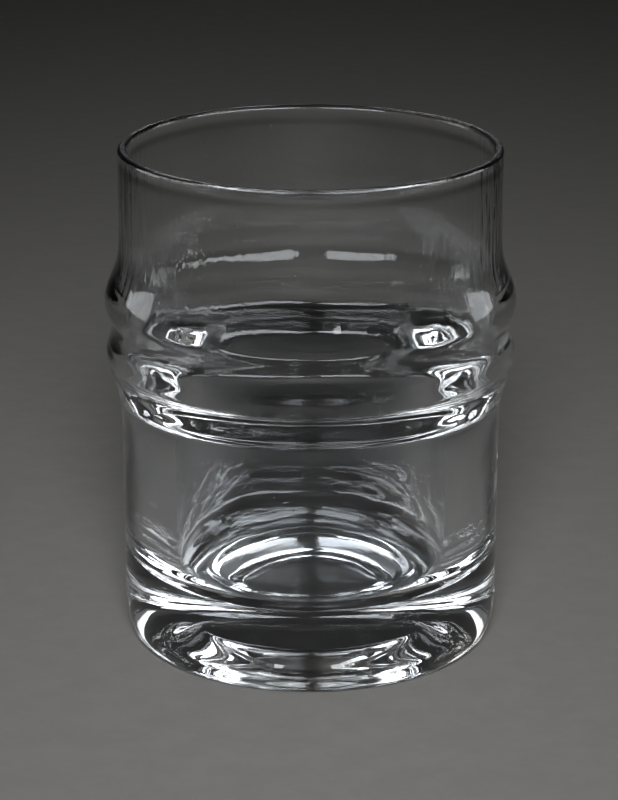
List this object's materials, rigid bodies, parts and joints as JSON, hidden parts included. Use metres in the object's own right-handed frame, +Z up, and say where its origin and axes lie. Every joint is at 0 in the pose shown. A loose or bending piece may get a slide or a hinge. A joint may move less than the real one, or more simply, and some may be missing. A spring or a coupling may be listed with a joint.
{
  "type": "whiskey tumbler",
  "caption": "Clear glass whiskey tumbler with two swelled rings round its wall, a thick-walled well and a heavy recessed base.",
  "frame": {"origin": "centre of the foot, on the plane the glass stands on", "axes": "+Z up the glass's own axis, from the foot to the lip; the glass is round, so +X and +Y are free"},
  "size_m": [0.0812, 0.0812, 0.1003],
  "materials": {
    "clear_glass": "fire-polished, clear and colourless"
  },
  "bodies": {
    "root": {"glass_body": "clear_glass"}
  },
  "joints": []
}
